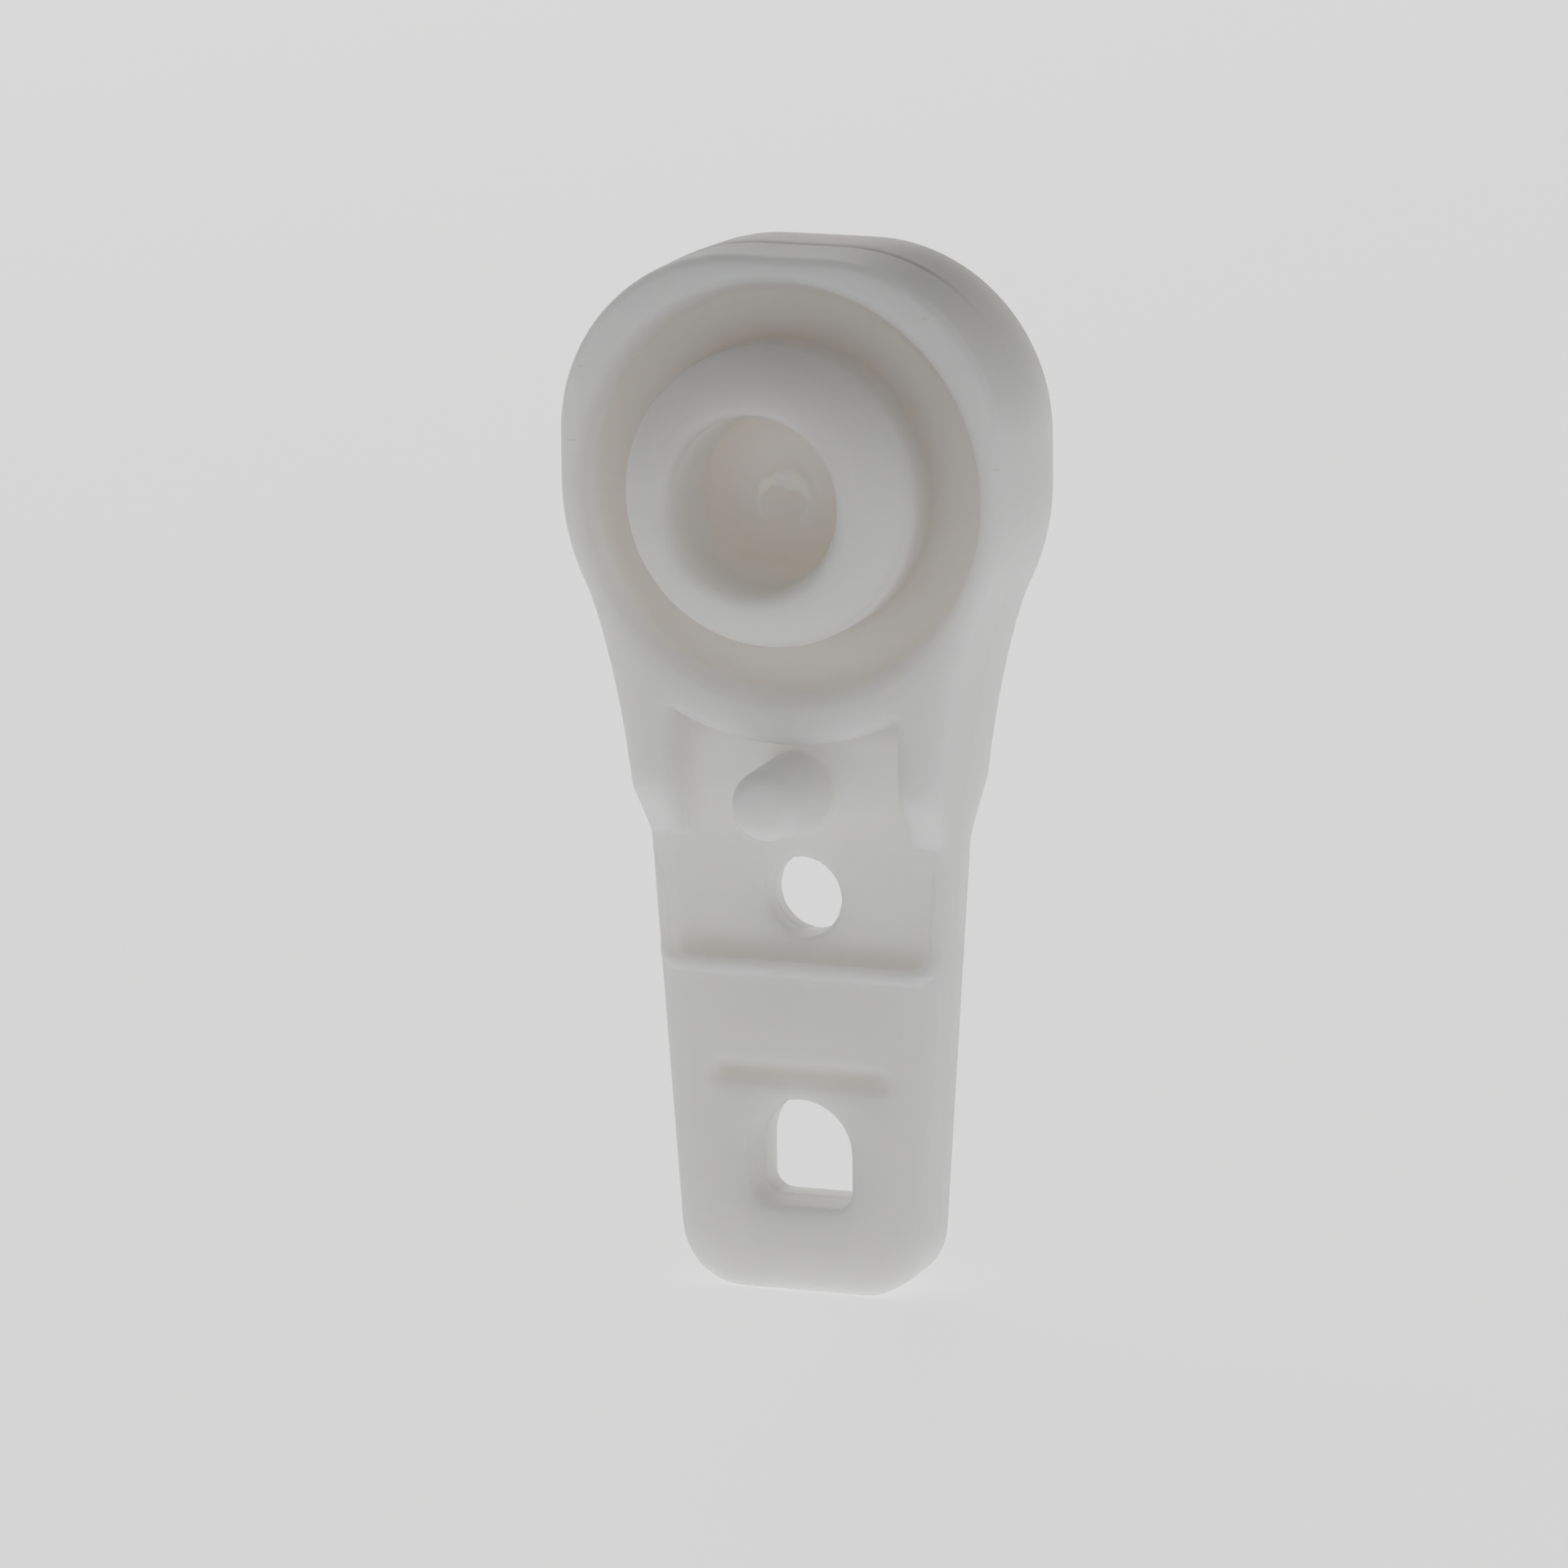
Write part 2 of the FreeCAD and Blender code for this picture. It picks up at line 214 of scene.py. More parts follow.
class GliderFinish(bpy.types.PropertyGroup):
    """Colours and finish of the plastic, with painted light and shade in some of its colours."""

    plastic: colour("Plastic", (0.85, 0.85, 0.845), "Colour of the white plastic")
    # Painted shade in the dish's groove round the hub, lighter below the hub
    dish: colour("Dish", (0.785, 0.763, 0.738), "Colour in the dish's groove, round the hub")
    groove_shade_below: colour("Dish below", (0.84, 0.82, 0.80), "Colour in the dish's groove below the hub")
    # Painted shade on the lip over the bore, above the axis, which dims its highlight
    crest_shade: colour("Crest", (0.68, 0.665, 0.645), "Colour of the lip over the hub's bore")
    # Painted warm tint inside the bore, for the light scattered there
    bore: colour("Bore", (0.875, 0.847, 0.817), "Colour inside the hub's bore")
    # Painted light on the hub's dome above the axis and painted shade below it, which flatten its shading
    hub_lit_above: colour("Hub above", (0.87, 0.86, 0.84), "Colour of the hub's dome above the axis")
    hub_shaded_below: colour("Hub below", (0.73, 0.73, 0.708), "Colour of the hub's dome below the axis")
    # Painted highlight on the gate's crescent
    gate: colour("Gate", (0.95, 0.92, 0.865), "Colour of the crescent that the moulding gate left")
    # Painted glow of light through the thin web beside the peg
    thin: colour("Thin web", (0.94, 0.925, 0.905), "Colour of the thin web beside the peg")
    # Painted shade in the cove above the pocket's ledge
    cove: colour("Cove", (0.79, 0.78, 0.762), "Colour in the cove above the pocket's ledge")
    # Painted highlight along the bead on the pocket's ledge
    lip: colour("Lip", (0.93, 0.93, 0.92), "Colour of the bead along the pocket's ledge")
    # Painted soft shadow in the sunk bar
    bar: colour("Bar", (0.78, 0.768, 0.745), "Colour of the sunk bar")
    # Painted shade along the line where the mould's halves met
    seam: colour("Seam", (0.52, 0.49, 0.46), "Colour of the line where the mould's halves met")
    cloud: colour("Cloud", (0.80, 0.81, 0.82), "Colour of soft clouds in the plastic")
    speck: colour("Speck", (0.30, 0.26, 0.22), "Colour of fine specks and scuffs")
    roughness: share("Roughness", 0.46, "Roughness of the moulded skin")
    glow: share("Glow", 1.0, "How much light passes under the skin")
    glow_reach: length("Glow reach", 4.0, "How far light passes under the skin")


class GliderStage(bpy.types.PropertyGroup):
    """Camera, floor and light."""

    azimuth: angle("Azimuth", 21.246, "Camera's turn to the right of the front")
    elevation: angle("Elevation", 11.874, "Camera's height above the horizon")
    roll: angle("Roll", -0.658, "Camera's turn about its own axis")
    distance: length("Distance", 340.0, "From the camera to its target")
    target: bpy.props.FloatVectorProperty(
        name="Target", description="Point that the camera looks at",
        default=(-0.3653 * MM, -1.2637 * MM, -9.134 * MM), unit="LENGTH", subtype="TRANSLATION", precision=5)
    lens: bpy.props.FloatProperty(
        name="Lens", description="Focal length on a 36 mm sensor", default=259.22, min=1.0, unit="CAMERA")
    floor: colour("Floor", (0.16, 0.16, 0.16), "Colour of the floor under the lamps' light")
    table: colour("Table", (0.608, 0.610, 0.606), "Glow of the lit floor")
    front: power("Front lamp", 0.54, "Power of the soft lamp in front")
    left_front: power("Left front lamp", 0.25, "Power of the soft lamp at the left in front")
    right_front: power("Right front lamp", 0.26, "Power of the soft lamp at the right in front")
    right: power("Right lamp", 0.56, "Power of the soft lamp at the right")
    left_back: power("Left back lamp", 1.46, "Power of the soft lamp at the left behind")
    right_back: power("Right back lamp", 0.42, "Power of the soft lamp at the right behind")


def arc(centre, radius, start, end, steps=24):
    """Points on an arc between two angles in degrees."""
    turn = np.radians(np.linspace(start, end, steps + 1))
    return [(centre[0] + radius * math.cos(t), centre[1] + radius * math.sin(t)) for t in turn]


def bezier(a, b, c, d, steps=24):
    """Points on a cubic curve."""
    t = np.linspace(0.0, 1.0, steps + 1)[:, None]
    a, b, c, d = (np.array(p) for p in (a, b, c, d))
    return [tuple(p) for p in (1 - t) ** 3 * a + 3 * (1 - t) ** 2 * t * b + 3 * (1 - t) * t ** 2 * c + t ** 3 * d]


def eased(before, corner, after, radius, steps=12):
    """Points on the arc that rounds a corner."""
    to_before, to_after = (Vector(p) - Vector(corner) for p in (before, after))
    half = to_before.angle(to_after) / 2
    centre = Vector(corner) + (to_before.normalized() + to_after.normalized()).normalized() * radius / math.sin(half)
    start = Vector(corner) + to_before.normalized() * radius / math.tan(half) - centre
    turn = start.angle_signed(Vector(corner) + to_after.normalized() * radius / math.tan(half) - centre)
    swing = [Matrix.Rotation(-turn * k / steps, 2) @ start for k in range(steps + 1)]
    return [tuple(centre + p) for p in swing]


def mirrored(half):
    """A closed loop from its right half, drawn from the top to the bottom."""
    return half + [(-x, z) for x, z in reversed(half)]


def loop_distance(loop, u, v):
    """Signed distance from points to a closed loop, negative inside."""
    shape = np.broadcast(u, v).shape
    nearest = np.full(shape, np.inf)
    inside = np.zeros(shape, bool)
    for (a, b), (c, d) in zip(loop, loop[1:] + loop[:1]):
        run, rise = c - a, d - b
        reach = run * run + rise * rise
        if reach == 0.0:
            continue
        t = np.clip(((u - a) * run + (v - b) * rise) / reach, 0.0, 1.0)
        nearest = np.minimum(nearest, (u - a - t * run) ** 2 + (v - b - t * rise) ** 2)
        if rise:
            inside ^= ((b <= v) != (d <= v)) & (u < a + run * (v - b) / rise)
    return np.where(inside, -1.0, 1.0) * np.sqrt(nearest)


def common(a, b, radius):
    """What two solids share, with the edge between them rounded."""
    return np.minimum(-radius, np.maximum(a, b)) + np.hypot(np.maximum(radius + a, 0), np.maximum(radius + b, 0))


def joined(a, b, radius):
    """Two solids in one, with a fillet between them."""
    return np.maximum(radius, np.minimum(a, b)) - np.hypot(np.maximum(radius - a, 0), np.maximum(radius - b, 0))


def cut(a, b, radius):
    """A solid without another one, with the edge of the cut rounded."""
    return common(a, -b, radius)


class Moulding:
    """The glider as a distance field in millimetres."""

    def __init__(self, sizes):
        for name, kind in sizes.__annotations__.items():
            value = getattr(sizes, name)
            setattr(self, name, value if kind.keywords.get("unit") == "ROTATION" else value / MM)
        self.outline = mirrored(self.outline_half())
        self.eye = mirrored(self.eye_half_loop())
        self.pocket = mirrored(self.pocket_half())
        self.side = self.side_view()
        self.section = self.pocket_section()
        rise = self.hub_lip - self.hub_edge
        below = (self.hub_radius ** 2 - self.bore_mouth ** 2 - rise ** 2) / (2 * rise)
        self.dome_centre = self.hub_edge - below
        self.dome_radius = math.hypot(self.hub_radius, below)

    def tail_half(self, z):
        """Half the tail's width at a height, along its straight sides."""
        spread = (self.shoulder_half - self.foot_half) / (self.foot - self.shoulder_foot)
        return self.foot_half + (z + self.foot) * spread

    def outline_half(self):
        """Right half of the outline: flat top, round head, neck and tail."""
        corner = self.head_half - self.top_flat / 2
        turn = self.neck_angle
        leave = Vector((math.cos(turn), -math.sin(turn))) * self.head_half
        shoulder = Vector((self.shoulder_half, -self.shoulder_foot))
        foot = Vector((self.foot_half, -self.foot))
        neck = bezier(leave, leave - Vector((math.sin(turn), math.cos(turn))) * self.neck_turn,
                      shoulder + (shoulder - foot).normalized() * self.neck_ease, shoulder)
        return [
            *arc((self.top_flat / 2, self.head_top - corner), corner, 90, 0),
            *arc((0, 0), self.head_half, 0, -math.degrees(turn), 12),
            *neck,
            *eased(shoulder, foot, (0, -self.foot), self.foot_corner),
        ]

    def eye_half_loop(self):
        """Right half of the D-shaped hook eye."""
        spring = self.eye_height - self.eye_half - self.eye_bottom
        corner = (self.eye_half, -self.eye_bottom)
        return [
            *arc((0, spring), self.eye_half, 90, 0, 16),
            *eased((self.eye_half, spring), corner, (0, -self.eye_bottom), self.eye_corner, 6),
        ]

    def pocket_half(self):
        """Right half of the neck's pocket: the ring's edge, a rail, and the wide part down to the ledge."""
        reach = math.degrees(math.asin(self.rail_inner / self.ring))
        top, low = (self.tail_half(-level) - self.pocket_rim for level in (self.shoulder_foot, self.ledge))
        return [
            *arc((0, 0), self.ring, -90, reach - 90, 12),
            (self.rail_inner, -self.shoulder_foot),
            (top, -self.shoulder_foot),
            *eased((top, -self.shoulder_foot), (low, -self.ledge), (0, -self.ledge), self.pocket_corner, 6),
        ]

    def side_view(self):
        """Half thickness against height: head, sloping shoulder and tail."""
        past = 5.0
        high, low = self.head_top + past, -self.foot - past
        head_end, tail_start = (self.head_face, -self.rail_end), (self.tail_face, -self.shoulder_foot)
        return [
            (-past, high), (self.head_face, high),
            *eased((self.head_face, high), head_end, tail_start, SHOULDER_TOP_ROUND),
            *eased(head_end, tail_start, (self.tail_face, low), SHOULDER_FOOT_ROUND),
            (self.tail_face, low), (-past, low),
        ]

    def pocket_section(self):
        """The pocket seen from the side: its floor, and the cove that sweeps up to the ledge."""
        past = 9.0
        sweep = math.acos(1 - (self.tail_face - self.pocket_floor) / self.cove)
        start = self.cove * math.sin(sweep) - self.ledge
        centre = (self.pocket_floor + self.cove, start)
        return [
            (past, 0), (self.pocket_floor, 0),
            *arc(centre, self.cove, 180, 180 + math.degrees(sweep), 10),
            (past, -self.ledge),
        ]

    def body(self, x, depth, z):
        """The blank: drafted flanks, the line where the mould's halves met, and the stepped thickness.

        The line deepens over the top quarter of the head.
        """
        over_top = np.clip(4 * z / self.head_top - 3, 0, 1)
        seam = self.seam_depth * self.at_seam(depth) + self.top_seam * over_top * self.at_seam(depth / 2)
        flank = loop_distance(self.outline, x, z) + depth * math.tan(self.flank_draft) + seam
        return common(flank, loop_distance(self.side, depth, z), self.edge_round)

    def at_seam(self, depth):
        """One on the parting plane, none a mesh step away from it."""
        return np.clip(1 - depth / self.spacing, 0, 1)

    def hub(self, radial, depth):
        """The domed hub before it is bored."""
        dome = np.hypot(radial, depth - self.dome_centre) - self.dome_radius
        return common(radial - self.hub_radius, dome, HUB_EDGE_ROUND)

    def bore(self, radial, depth):
        """The blind bore in the hub, narrower towards its floor."""
        widening = (self.bore_mouth - self.bore_wall) / (self.hub_lip - self.bore_floor)
        wall = self.bore_wall + (depth - self.bore_floor) * widening
        return common(radial - wall, self.bore_floor - depth, BORE_FILLET)

    def dish(self, radial, depth):
        """The round dish in the head's face."""
        widening = (self.dish_mouth - self.dish_wall) / (self.head_face - self.dish_floor)
        wall = self.dish_wall + (depth - self.dish_floor) * widening
        return common(radial - wall, self.dish_floor - depth, DISH_FILLET)

    def lip(self, pocket, depth, z):
        """The bead along the pocket's ledge, which fades out up its corners."""
        run = np.clip((self.bead_rise - self.ledge - z) / self.bead_rise, 0, 1)
        out, sunk = BEAD_OUT * self.bead, BEAD_SUNK * self.bead
        return np.hypot(pocket - out, depth - self.tail_face + sunk) - self.bead * run

    def peg(self, x, depth, z):
        """The round-tipped peg between the rails."""
        wall = self.peg_radius + (self.peg_tip - depth) * math.tan(self.peg_draft)
        return common(np.hypot(x, z + self.peg_level) - wall, depth - self.peg_tip, self.peg_round)

    def bar(self, x, y, z):
        """The shallow bar sunk in the tail's front."""
        plan = common(np.abs(x) - self.bar_half, np.abs(z + self.bar_level) - self.bar_height / 2, BAR_CORNER)
        return common(plan, y + self.tail_face - self.bar_depth, BAR_FILLET)

    def gate(self, x, y, z):
        """The ragged crescent that the moulding gate left on the floor of the front bore, open below."""
        rise = z + self.gate_drop
        ring = np.hypot(x, rise) - self.gate_radius
        closing = np.clip(0.5 + 0.5 * rise / self.gate_radius, 0, 1)
        ragged = 1 + 0.2 * np.sin(9 * x + 5 * z)
        flake = 1 + 0.9 * np.exp(-((x - FLAKE_PLACE) / FLAKE_WIDTH) ** 2)
        return np.hypot(ring, y + self.bore_floor) - GATE_WALL * closing * ragged * flake

    def crater(self, x, y, z):
        """The hollow inside the gate's crescent."""
        rise = y + self.bore_floor + CRATER_RISE
        return np.sqrt(x ** 2 + (z + self.gate_drop) ** 2 + rise ** 2) - CRATER_RADIUS

    def distance(self, x, y, z):
        """Signed distance to the moulding's surface, negative inside."""
        depth = np.abs(y)
        radial = np.hypot(x, z)
        solid = cut(self.body(x, depth, z), self.dish(radial, depth), self.dish_lip)
        plan = loop_distance(self.pocket, x, z)
        pocket = common(plan, loop_distance(self.section, depth, z), POCKET_FILLET)
        beside_peg = np.clip(z + self.shoulder_foot, 0, 1)
        solid = cut(solid, pocket, self.pocket_round + (self.web_round - self.pocket_round) * beside_peg)
        solid = joined(solid, self.lip(plan, depth, z), BEAD_FILLET)
        flash = self.flash * self.at_seam(depth)
        solid = cut(solid, np.hypot(x, z + self.hole_level) - self.hole_radius + flash, self.hole_round)
        eye = loop_distance(self.eye, x, z) - depth * math.tan(self.eye_draft) + flash
        solid = cut(solid, eye, self.hole_round)
        solid = cut(solid, self.bar(x, y, z), BAR_EDGE_ROUND)
        solid = joined(solid, self.peg(x, depth, z), PEG_FILLET)
        solid = joined(solid, self.hub(radial, depth), HUB_FILLET)
        solid = cut(solid, self.bore(radial, depth), self.bore_lip)
        solid = cut(solid, self.crater(x, y, z), CRATER_EDGE_ROUND)
        return joined(solid, self.gate(x, y, z), GATE_FILLET)

    def slope(self, points):
        """The field's gradient at points."""
        step = self.spacing / 8
        rises = [self.distance(*(points + n).T) - self.distance(*(points - n).T) for n in np.eye(3) * step]
        return np.stack(rises, 1) / (2 * step)

    def mesh(self):
        """Points in millimetres and quads on the moulding's surface."""
        low = np.floor(np.array(CAD_LOW) / self.spacing).astype(int) - MESH_MARGIN
        high = np.ceil(np.array(CAD_HIGH) / self.spacing).astype(int) + MESH_MARGIN
        x, y, z = (np.arange(a, b + 1) * self.spacing for a, b in zip(low, high))
        field = self.distance(x[:, None, None], y[None, :, None], z[None, None, :])
        grid = openvdb.FloatGrid(self.spacing * MESH_MARGIN)
        grid.copyFromArray(np.ascontiguousarray(field, dtype=np.float32))
        points, quads = grid.convertToQuads(0.0)
        points = (points + low) * self.spacing
        for _ in range(SETTLE_PASSES):
            slope = self.slope(points)
            steepness = np.maximum((slope ** 2).sum(1), 0.1)
            points -= (self.distance(*points.T) / steepness)[:, None] * slope
        return points, quads[:, ::-1]


class Signal:
    """A shader socket that works in Python expressions: each operation adds its node."""

    def __init__(self, tree, socket):
        self.tree = tree
        self.socket = socket

    def node(self, kind, settings=None, inputs=None, output=0):
        """A node of any kind: its settings are set first, then the values or links of its sockets."""
        made = self.tree.nodes.new(kind)
        for name, value in (settings or {}).items():
            setattr(made, name, value)
        for name, value in (inputs or {}).items():
            if isinstance(value, Signal):
                self.tree.links.new(value.socket, made.inputs[name])
            else:
                made.inputs[name].default_value = value
        return Signal(self.tree, made.outputs[output])

    def math(self, operation, a, b=0.0):
        """A Math node on values or signals."""
        return self.node("ShaderNodeMath", {"operation": operation}, {0: a, 1: b})

    def __abs__(self):
        return self.math("ABSOLUTE", self)

    def __add__(self, other):
        return self.math("ADD", self, other)

    def __rsub__(self, other):
        return self.math("SUBTRACT", other, self)

    def __mul__(self, other):
        return self.math("MULTIPLY", self, other)

    __radd__ = __add__
    __rmul__ = __mul__

    def step(self, low, high):
        """A smooth rise from 0 at one value to 1 at another."""
        return self.node("ShaderNodeMapRange", {"interpolation_type": "SMOOTHSTEP"},
                         {"Value": self, "From Min": low, "From Max": high})

    def above(self, low, high):
        """A mask that comes in between two places in millimetres."""
        return self.step(low * MM, high * MM)

    def below(self, low, high):
        """A mask that goes out between two places in millimetres."""
        return 1 - self.above(low, high)

    def mix(self, first, second):
        """A colour between two colours, by this value."""
        return self.node("ShaderNodeMix", {"data_type": "RGBA"}, {0: self, 6: first, 7: second}, 2)


def material(name):
    """A new material: its shader node, and the tree's first signal, the object's own coordinates."""
    made = bpy.data.materials.new(name)
    made.use_nodes = True
    shader = made.node_tree.nodes["Principled BSDF"]
    where = made.node_tree.nodes.new("ShaderNodeTexCoord").outputs["Object"]
    return made, shader, Signal(made.node_tree, where)


def opaque(tone):
    """A colour as a shader's socket takes it."""
    return (*tone, 1.0)


def feed(shader, **signals):
    """Links signals to a shader's sockets, named with underscores."""
    for name, signal in signals.items():
        signal.tree.links.new(signal.socket, shader.inputs[name.replace("_", " ")])


def white_plastic(finish, at):
    """Milky moulded plastic: cloudy, with a few specks and a fine moulded skin, and with painted light and shade:
    warm painted shade in its recesses, painted light and shade on the dome, painted highlights and a painted glow.

    Each mask fades between two places in millimetres, beside the moulding's own sizes.
    """
    made, shader, where = material("milky_plastic")

    def noise(scale, detail=2.0, vector=where):
        return where.node("ShaderNodeTexNoise", None, {"Vector": vector, "Scale": scale, "Detail": detail})

    x, y, z = (where.node("ShaderNodeSeparateXYZ", None, {"Vector": where}, k) for k in range(3))
    depth = abs(y)
    side = abs(x)
    radial = x.math("SQRT", x * x + z * z)

    # Head, with painted light and shade: shade in the dish's groove, light and shade on the dome, shade on the lip
    # over the bore, warm scattered light in the bore, and a highlight on the gate's scar
    # Painted shade in the dish's groove and on the hub's side wall
    groove_shade_mask = radial.above(at.hub_radius - 0.15, at.hub_radius - 0.03)
    groove_shade_mask = groove_shade_mask * radial.below(at.dish_mouth - 0.3, at.dish_mouth + 0.1)
    groove_shade_mask = groove_shade_mask * (depth + radial * 0.67).below(5.3, 6.4)
    # The dome, which takes painted light above the axis and painted shade below it
    dome_shading_mask = radial.below(at.hub_radius - 0.1, at.hub_radius + 0.05)
    dome_shading_mask = dome_shading_mask * depth.above(at.hub_edge - 0.9, at.hub_edge - 0.1)
    # Painted shade on the bore's lip, above the axis
    crest_shade_mask = radial.below(at.bore_mouth + 0.2, at.bore_mouth + 0.7) * depth.above(3.9, 4.5) * z.above(-0.2, 1.8)
    # Painted warm tint of scattered light inside the bore
    bore_scatter_mask = radial.below(at.bore_mouth - 0.4, at.bore_mouth + 0.2) * depth.below(3.0, 4.7)
    # Painted highlight on the gate's crescent
    gate_highlight_mask = radial.below(1.3, 1.6) * depth.above(at.bore_floor + 0.04, at.bore_floor + 0.14)

    # Neck and tail, with painted light and shade: a glow on the thin web beside the peg, shade in the cove over the
    # ledge, a highlight on the bead, a shadow in the sunk bar
    # Painted glow on the thin web beside the peg
    web_glow_mask = side.below(3.0, 3.7) * depth.below(0.9, 1.3)
    web_glow_mask = web_glow_mask * z.above(-11.6, -9.6) * z.below(-8.0, -7.4)
    # Painted shade in the cove above the ledge
    cove_shade_mask = z.above(-at.ledge - 0.1, -at.ledge + 0.1) * z.below(-at.ledge + 0.15, -at.ledge + 1.05)
    cove_shade_mask = cove_shade_mask * side.below(3.7, 4.2) * depth.below(1.1, 1.3)
    # Painted highlight along the bead
    lip_highlight_mask = z.above(-at.ledge - 0.5, -at.ledge - 0.25) * z.below(-at.ledge - 0.05, -at.ledge + 0.1)
    lip_highlight_mask = lip_highlight_mask * depth.above(1.24, 1.34)
    # Painted soft shadow over the sunk bar
    bar_shadow_mask = abs(z + (at.bar_level + 0.03) * MM).below(0.0, 0.45)
    bar_shadow_mask = bar_shadow_mask * side.below(at.bar_half - 0.5, at.bar_half + 0.15) * y.below(-0.9, -0.6)

    # Painted shade along the line where the mould's halves met, strongest on the head's top
    at_seam = depth.below(0.06, 0.22) * radial.above(6.6, 6.8)
    at_seam = at_seam * (z.above(5.5, 6.9) * 0.72 + 0.03)

    # Painted shade in the groove, lighter below the hub
    groove = z.above(-6.0, -2.5).mix(opaque(finish.groove_shade_below), opaque(finish.dish))
    # Painted light above the axis, fading to painted shade below it
    dome = z.above(-3.5, 3.5).mix(opaque(finish.hub_shaded_below), opaque(finish.hub_lit_above))
    tone = groove_shade_mask.mix(opaque(finish.plastic), groove)
    tone = dome_shading_mask.mix(tone, dome)
    # Painted shade, light, highlights and glow laid over the plastic's colour, one mask after another
    for mask, paint in (
            (crest_shade_mask, finish.crest_shade), (bore_scatter_mask, finish.bore), (gate_highlight_mask, finish.gate), (web_glow_mask, finish.thin),
            (cove_shade_mask, finish.cove), (lip_highlight_mask, finish.lip), (bar_shadow_mask, finish.bar), (at_seam, finish.seam)):
        tone = mask.mix(tone, opaque(paint))
    cloud = noise(260.0).step(0.35, 0.75)
    tone = (cloud * 0.2).mix(tone, opaque(finish.cloud))

    # Sparse specks all over, and short scuffs on the upper rim
    cell = where.node("ShaderNodeTexVoronoi", {"feature": "F1"}, {"Vector": where, "Scale": 330.0})
    rare = noise(700.0, 0.0).step(0.66, 0.70)
    streaked = where.node("ShaderNodeMapping", None, {
        "Vector": where, "Scale": (1.0, 1.0, 3.5), "Rotation": (0, 0.6, 0)})
    scuff = noise(520.0, 3.0, streaked).step(0.68, 0.74)
    on_rim = radial.above(at.dish_mouth, at.dish_mouth + 0.2) * depth.above(2.2, 2.4) * z.above(-1.0, 2.0)
    marks = (1 - cell.step(0.03, 0.06)) * rare * 0.7 + scuff * on_rim * 0.35
    tone = marks.mix(tone, opaque(finish.speck))

    grain = noise(5200.0)
    sink = noise(420.0, 1.0)
    bump = where.node("ShaderNodeBump", None, {
        "Strength": 0.12, "Distance": 0.06 * MM, "Height": grain * 0.35 + sink})
    feed(shader, Base_Color=tone, Roughness=grain * 0.12 + (finish.roughness - 0.06), Normal=bump)
    shader.inputs["Subsurface Weight"].default_value = finish.glow
    shader.inputs["Subsurface Radius"].default_value = (1.0, 0.92, 0.8)
    shader.inputs["Subsurface Scale"].default_value = finish.glow_reach
    shader.inputs["IOR"].default_value = 1.48
    return made


class GLIDER_OT_moulding(bpy.types.Operator):
    """Build the glider's moulding, in place of its CAD solid"""

    bl_idname = "glider.moulding"
    bl_label = "Moulding"

    def execute(self, context):
        moulding = Moulding(context.scene.glider_sizes)
        points, quads = moulding.mesh()
        mesh = bpy.data.meshes.new("glider_moulding")
        mesh.from_pydata(points * MM, [], quads)
        mesh.shade_smooth()
        mesh.materials.append(white_plastic(context.scene.glider_finish, moulding))
        piece = bpy.data.objects.new("glider_moulding", mesh)
        context.scene.collection.objects.link(piece)
        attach(piece, "root")
        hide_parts(NODE)
        return {"FINISHED"}


def pale_floor(stage):
    """A matt floor that glows faintly, as a light table does, and takes the shadow."""
    made, shader, _ = material("pale_floor")
    shader.inputs["Base Color"].default_value = opaque(stage.floor)
    shader.inputs["Roughness"].default_value = 0.9
    shader.inputs["Specular IOR Level"].default_value = 0.1
    shader.inputs["Emission Color"].default_value = opaque(stage.table)
    shader.inputs["Emission Strength"].default_value = 1.0
    return made


def towards(azimuth, elevation):
    """A direction seen from the glider: azimuth to the right of the front, elevation above the horizon."""
    flat = math.cos(elevation)
    return Vector((math.sin(azimuth) * flat, -math.cos(azimuth) * flat, math.sin(elevation)))


def soft_lamp(context, name, azimuth, elevation, watts):
    """A large square lamp that faces the glider."""
    data = bpy.data.lights.new(name, "AREA")
    data.size = LAMP_SIZE
    data.energy = watts
    piece = bpy.data.objects.new(name, data)
    way = towards(math.radians(azimuth), math.radians(elevation))
    piece.location = way * LAMP_DISTANCE
    piece.rotation_euler = way.to_track_quat("Z", "Y").to_euler()
    context.scene.collection.objects.link(piece)


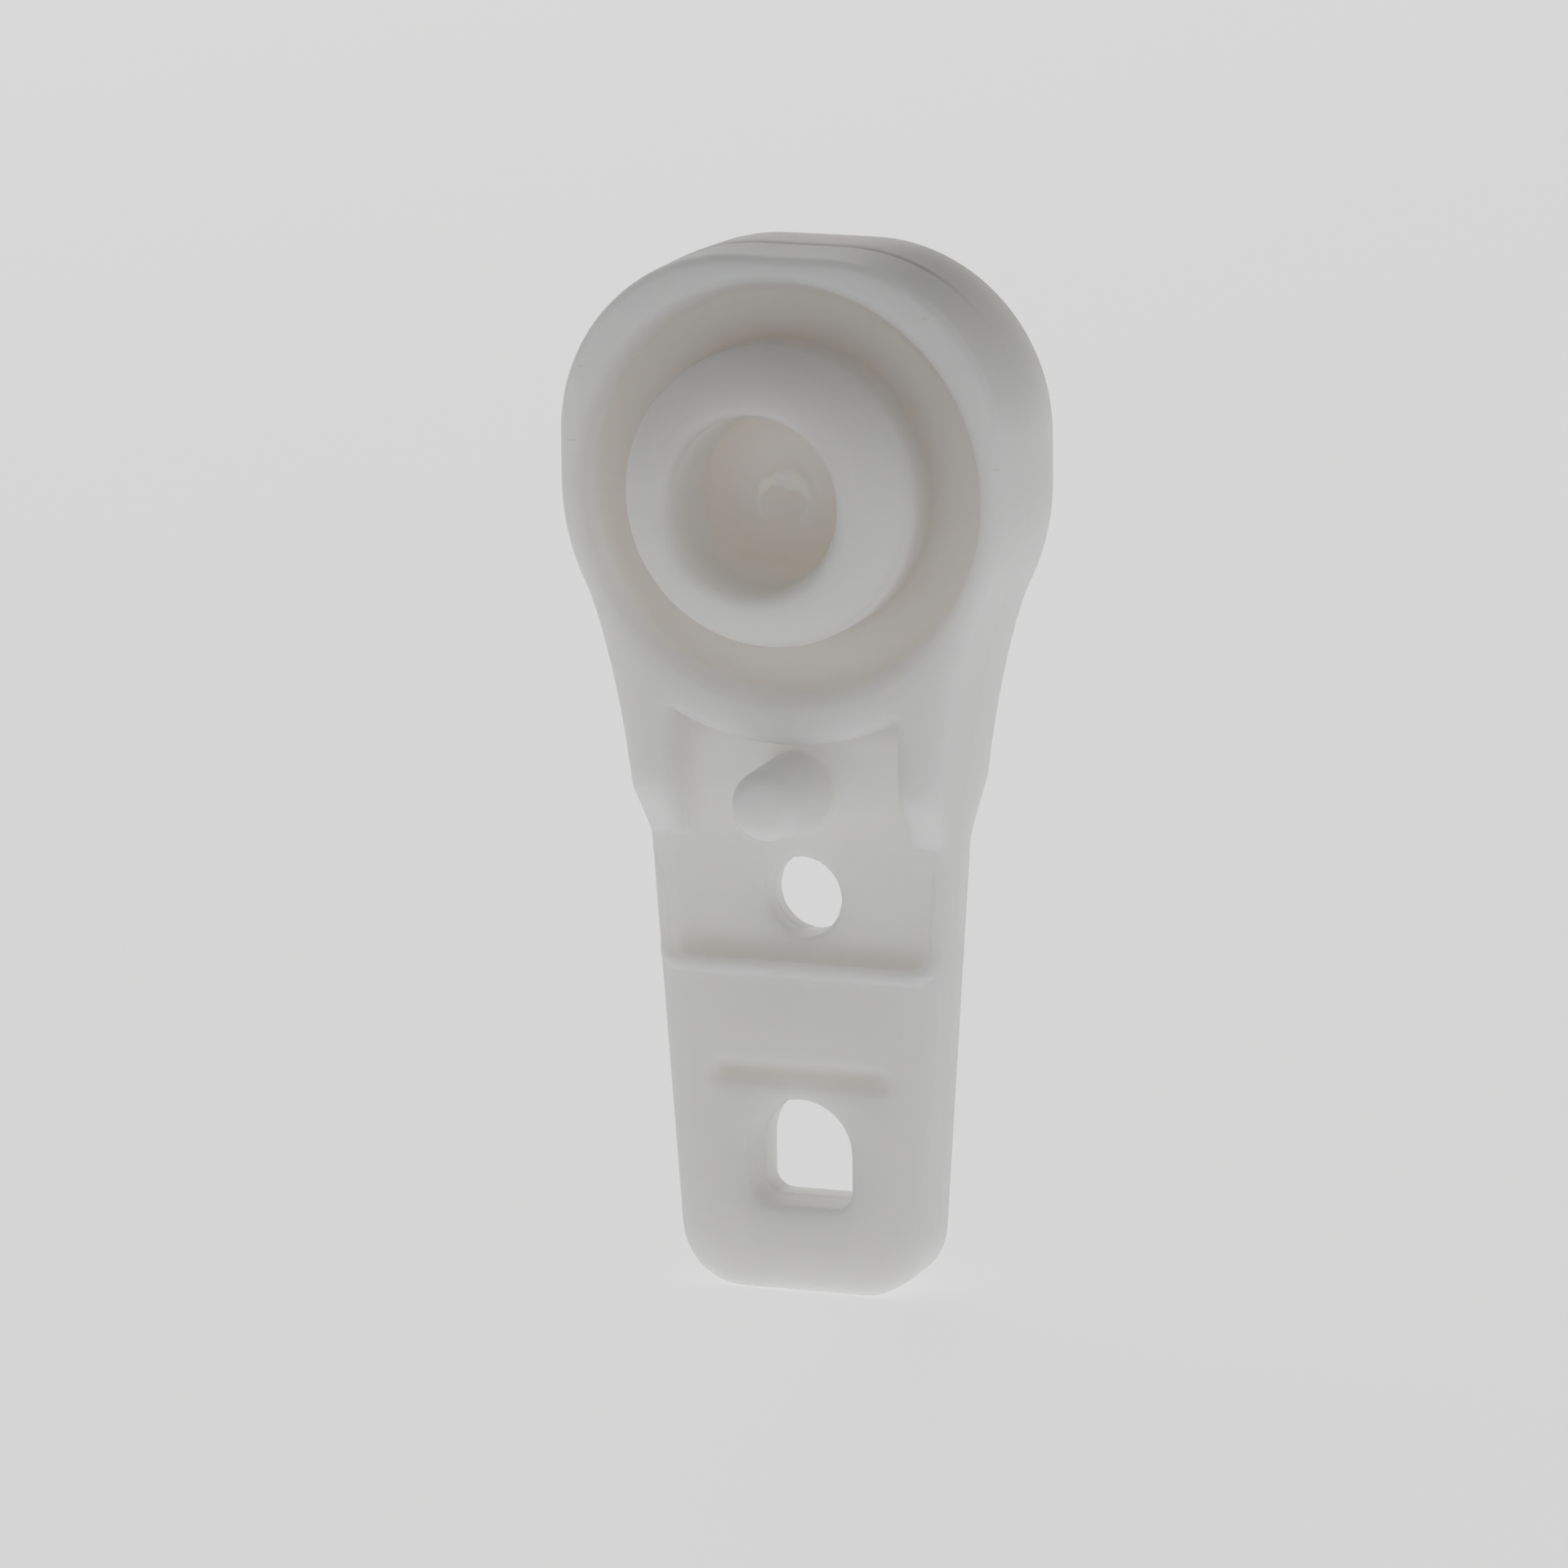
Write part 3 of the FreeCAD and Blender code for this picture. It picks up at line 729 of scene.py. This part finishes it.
class GLIDER_OT_stage(bpy.types.Operator):
    """Set up the pale floor, the soft light and the camera"""

    bl_idname = "glider.stage"
    bl_label = "Stage"

    def execute(self, context):
        stage = context.scene.glider_stage
        self.lay_floor(context, stage)
        self.hang_lights(context, stage)
        self.set_camera(context, stage)
        context.scene.view_settings.view_transform = "Standard"
        return {"FINISHED"}

    def lay_floor(self, context, stage):
        level = CAD_BOX[0][2]
        corners = [(x * FLOOR_REACH, y * FLOOR_REACH, level) for x, y in ((-1, -1), (1, -1), (1, 1), (-1, 1))]
        mesh = bpy.data.meshes.new("floor")
        mesh.from_pydata(corners, [], [(0, 1, 2, 3)])
        mesh.materials.append(pale_floor(stage))
        floor = bpy.data.objects.new("floor", mesh)
        context.scene.collection.objects.link(floor)

    def hang_lights(self, context, stage):
        world = bpy.data.worlds.new("soft_room")
        world.use_nodes = True
        world.node_tree.nodes["Background"].inputs["Color"].default_value = (0.0, 0.0, 0.0, 1.0)
        context.scene.world = world
        for name, azimuth, elevation, watts in (
                ("front_lamp", 0, 8, stage.front),
                ("left_front_lamp", -45, 32, stage.left_front),
                ("right_front_lamp", 45, 32, stage.right_front),
                ("right_lamp", 90, 5, stage.right),
                ("left_back_lamp", -135, 32, stage.left_back),
                ("right_back_lamp", 135, 32, stage.right_back)):
            soft_lamp(context, name, azimuth, elevation, watts)

    def set_camera(self, context, stage):
        azimuth, elevation, roll = stage.azimuth, stage.elevation, stage.roll
        toward = towards(azimuth, elevation)
        level = Vector((math.cos(azimuth), math.sin(azimuth), 0.0))
        upright = toward.cross(level)
        right = level * math.cos(roll) + upright * math.sin(roll)
        up = upright * math.cos(roll) - level * math.sin(roll)
        camera = bpy.data.objects.new("camera", bpy.data.cameras.new("camera"))
        camera.data.sensor_width = 36.0
        camera.data.lens = stage.lens
        camera.data.clip_start = 0.01
        turned = Matrix((right, up, toward)).transposed().to_4x4()
        camera.matrix_world = Matrix.Translation(Vector(stage.target) + toward * stage.distance) @ turned
        context.scene.collection.objects.link(camera)
        context.scene.camera = camera


class GLIDER_PT_panel(bpy.types.Panel):
    """Sizes, finish and stage of the glider"""

    bl_idname = "GLIDER_PT_panel"
    bl_label = "Curtain Glider"
    bl_space_type = "VIEW_3D"
    bl_region_type = "UI"
    bl_category = "Glider"

    def draw(self, context):
        for title, group, operator in (
                ("Moulding", context.scene.glider_sizes, GLIDER_OT_moulding),
                ("Finish", context.scene.glider_finish, None),
                ("Stage", context.scene.glider_stage, GLIDER_OT_stage)):
            box = self.layout.box()
            box.label(text=title)
            for name in group.__annotations__:
                box.prop(group, name)
            if operator:
                box.operator(operator.bl_idname)


CLASSES = (GliderSizes, GliderFinish, GliderStage, GLIDER_OT_moulding, GLIDER_OT_stage, GLIDER_PT_panel)


def register():
    for cls in CLASSES:
        bpy.utils.register_class(cls)
    bpy.types.Scene.glider_sizes = bpy.props.PointerProperty(type=GliderSizes)
    bpy.types.Scene.glider_finish = bpy.props.PointerProperty(type=GliderFinish)
    bpy.types.Scene.glider_stage = bpy.props.PointerProperty(type=GliderStage)


def unregister():
    del bpy.types.Scene.glider_stage
    del bpy.types.Scene.glider_finish
    del bpy.types.Scene.glider_sizes
    for cls in reversed(CLASSES):
        bpy.utils.unregister_class(cls)


def main():
    register()
    bpy.ops.glider.moulding()
    bpy.ops.glider.stage()


if __name__ == "__main__":
    main()
